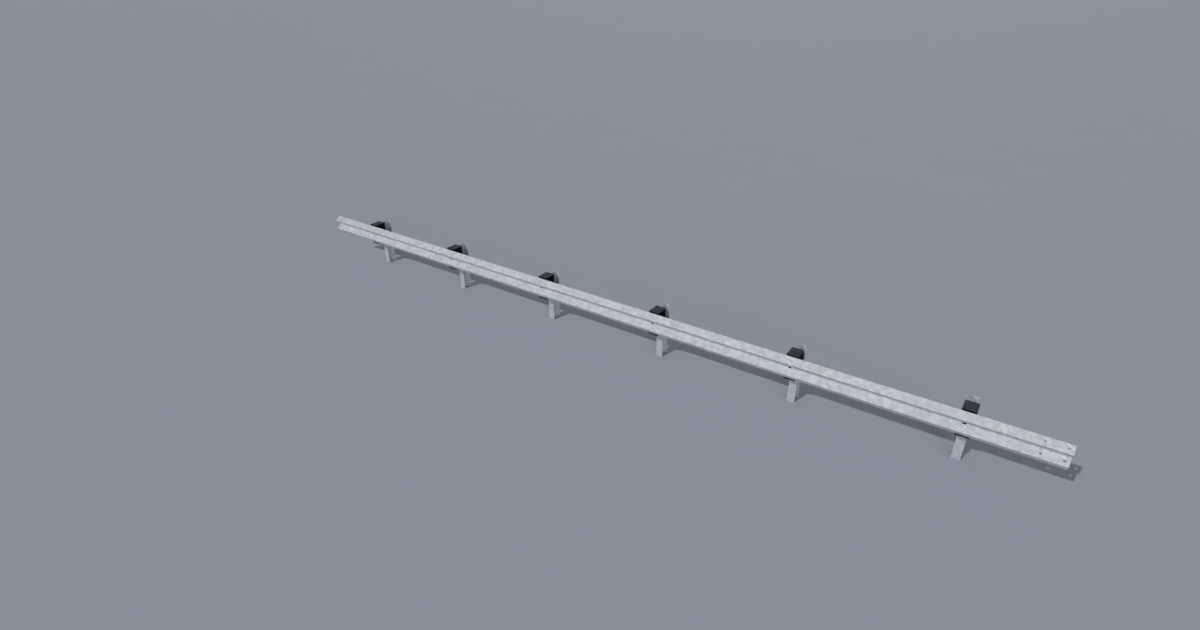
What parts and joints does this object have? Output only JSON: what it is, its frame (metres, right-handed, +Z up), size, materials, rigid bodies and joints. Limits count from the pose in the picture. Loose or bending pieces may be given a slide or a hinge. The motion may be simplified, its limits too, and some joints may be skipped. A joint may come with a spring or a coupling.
{
  "type": "highway guardrail section",
  "caption": "Galvanised W-beam guardrail row on black blockouts and I-section steel posts, from ground level up, that keeps vehicles on the road.",
  "frame": {"origin": "centre of the first post's foot, at ground level", "axes": "+X along the row towards the last post, -Y towards the traffic, +Z up"},
  "size_m": [12, 0.4269, 0.804],
  "materials": {
    "beam_zinc": "hot-dip galvanised, weathered matt",
    "block_black": "moulded recycled plastic, dusty",
    "post_zinc": "hot-dip galvanised, weathered matt"
  },
  "bodies": {
    "root": {"rail_panel_1": "beam_zinc", "rail_panel_2": "beam_zinc", "rail_panel_3": "beam_zinc", "blockout_1": "block_black", "blockout_2": "block_black", "blockout_3": "block_black", "blockout_4": "block_black", "blockout_5": "block_black", "blockout_6": "block_black", "post_1": "post_zinc", "post_2": "post_zinc", "post_3": "post_zinc", "post_4": "post_zinc", "post_5": "post_zinc", "post_6": "post_zinc"}
  },
  "joints": []
}
